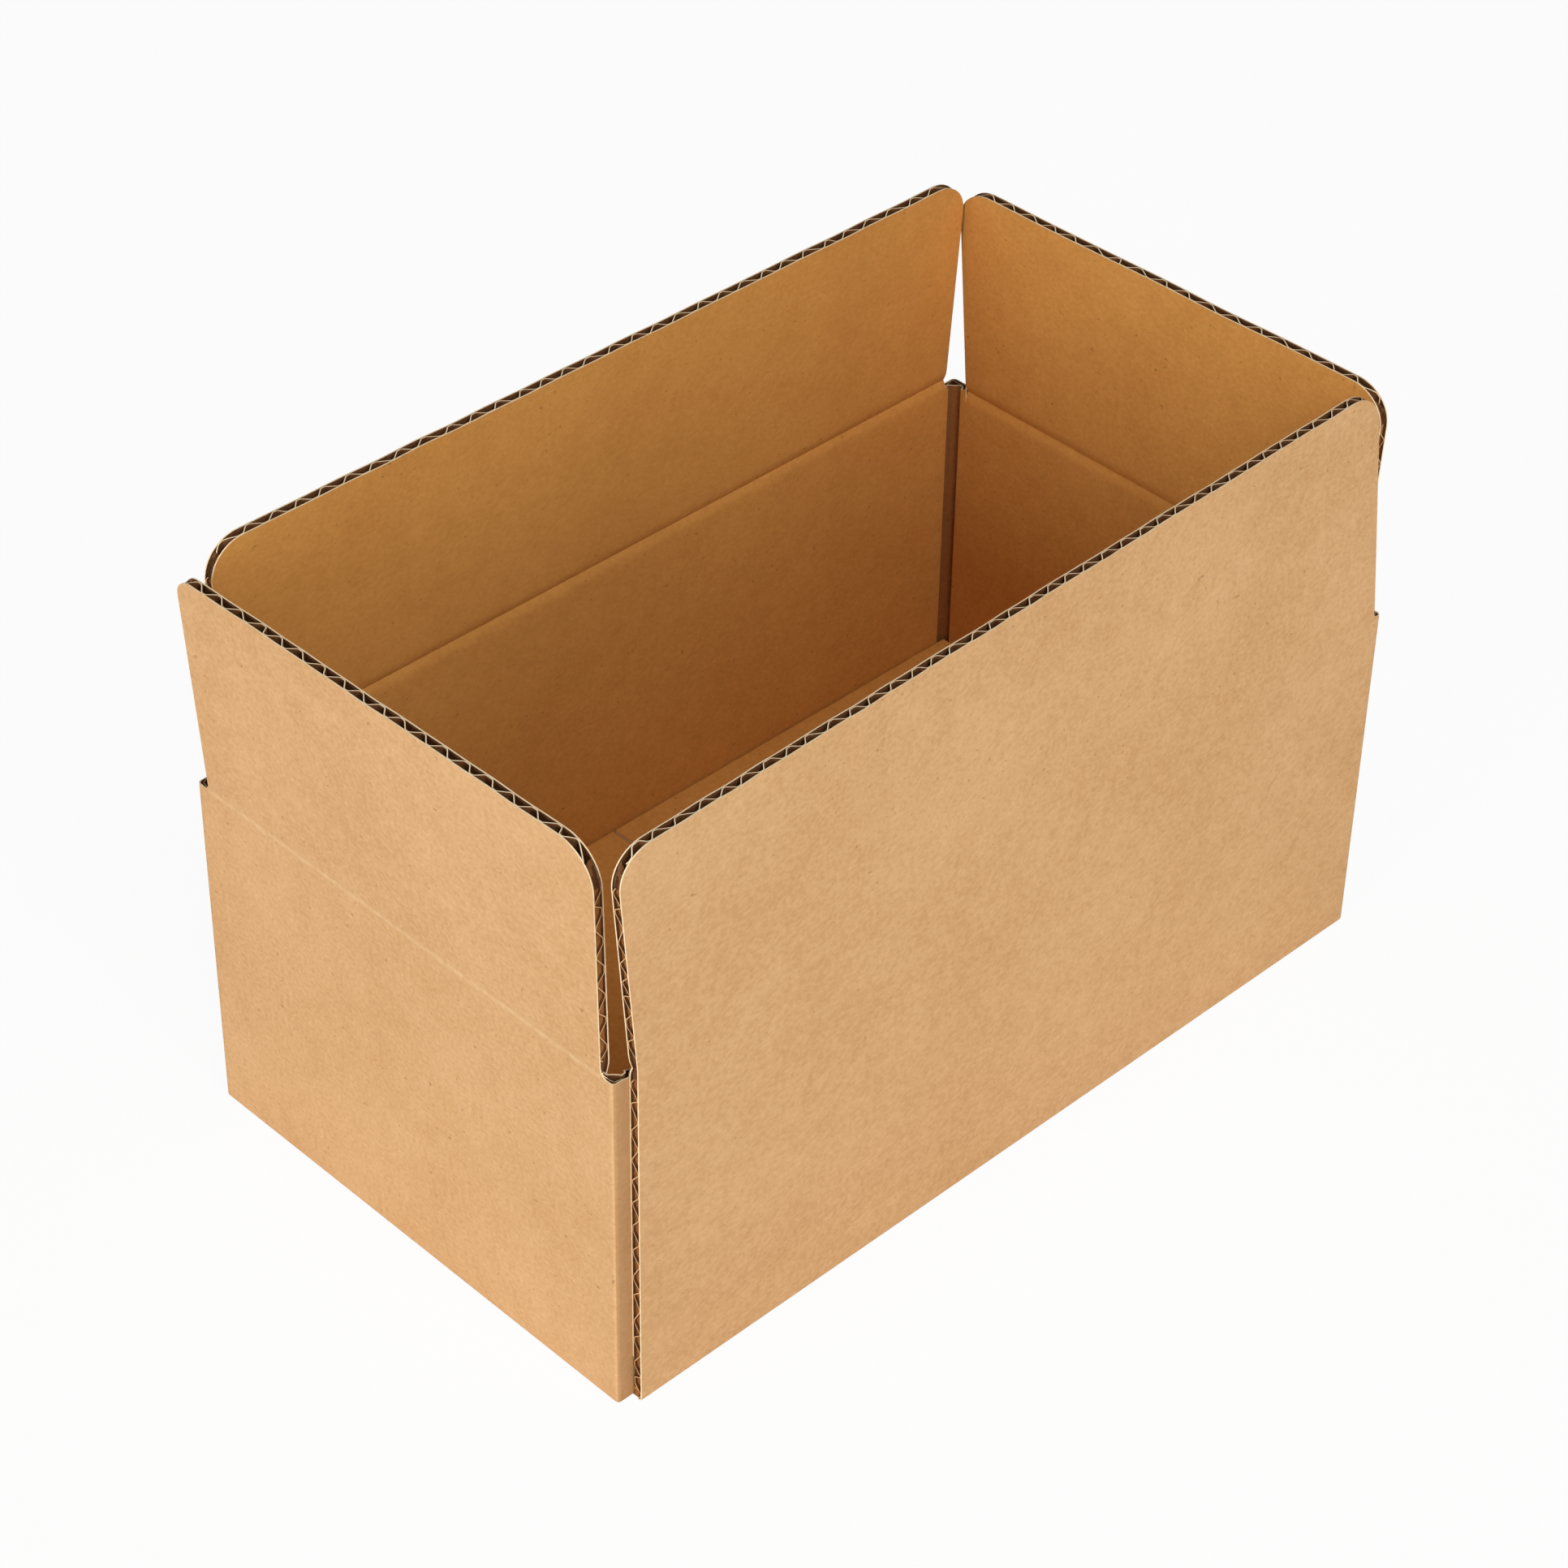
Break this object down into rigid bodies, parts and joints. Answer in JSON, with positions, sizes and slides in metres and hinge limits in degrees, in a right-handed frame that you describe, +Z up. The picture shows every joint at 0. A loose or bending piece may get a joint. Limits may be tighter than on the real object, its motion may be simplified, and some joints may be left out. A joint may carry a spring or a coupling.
{
  "type": "open cardboard box",
  "caption": "Open corrugated cardboard box with a closed double bottom, a glued corner joint and hinged top flaps with rounded corners.",
  "frame": {"origin": "centre of the base, on the surface that the box stands on", "axes": "+Z up; +X along the long sides; -Y out of the long wall with the raw glue-joint edge at its -X end"},
  "size_m": [0.242, 0.1386, 0.1549],
  "materials": {
    "kraft_board": "matt brown kraft paper"
  },
  "bodies": {
    "box": {"box_body": "kraft_board"},
    "front_flap": {"front_flap": "kraft_board"},
    "back_flap": {"back_flap": "kraft_board"},
    "left_end_flap": {"left_end_flap": "kraft_board"},
    "right_end_flap": {"right_end_flap": "kraft_board"}
  },
  "joints": [
    {"name": "front_flap_crease", "type": "hinge", "parent": "box", "child": "front_flap", "pos_m": [0, -0.0693, 0.0964], "axis": [-1, 0, 0], "range_deg": [-174, 84.4]},
    {"name": "back_flap_crease", "type": "hinge", "parent": "box", "child": "back_flap", "pos_m": [0, 0.0693, 0.0964], "axis": [1, 0, 0], "range_deg": [-171.2, 87.6]},
    {"name": "left_end_flap_crease", "type": "hinge", "parent": "box", "child": "left_end_flap", "pos_m": [-0.12, 0, 0.0934], "axis": [0, 1, 0], "range_deg": [-168, 92.6]},
    {"name": "right_end_flap_crease", "type": "hinge", "parent": "box", "child": "right_end_flap", "pos_m": [0.12, 0, 0.0934], "axis": [0, -1, 0], "range_deg": [-170.6, 90.9]}
  ]
}
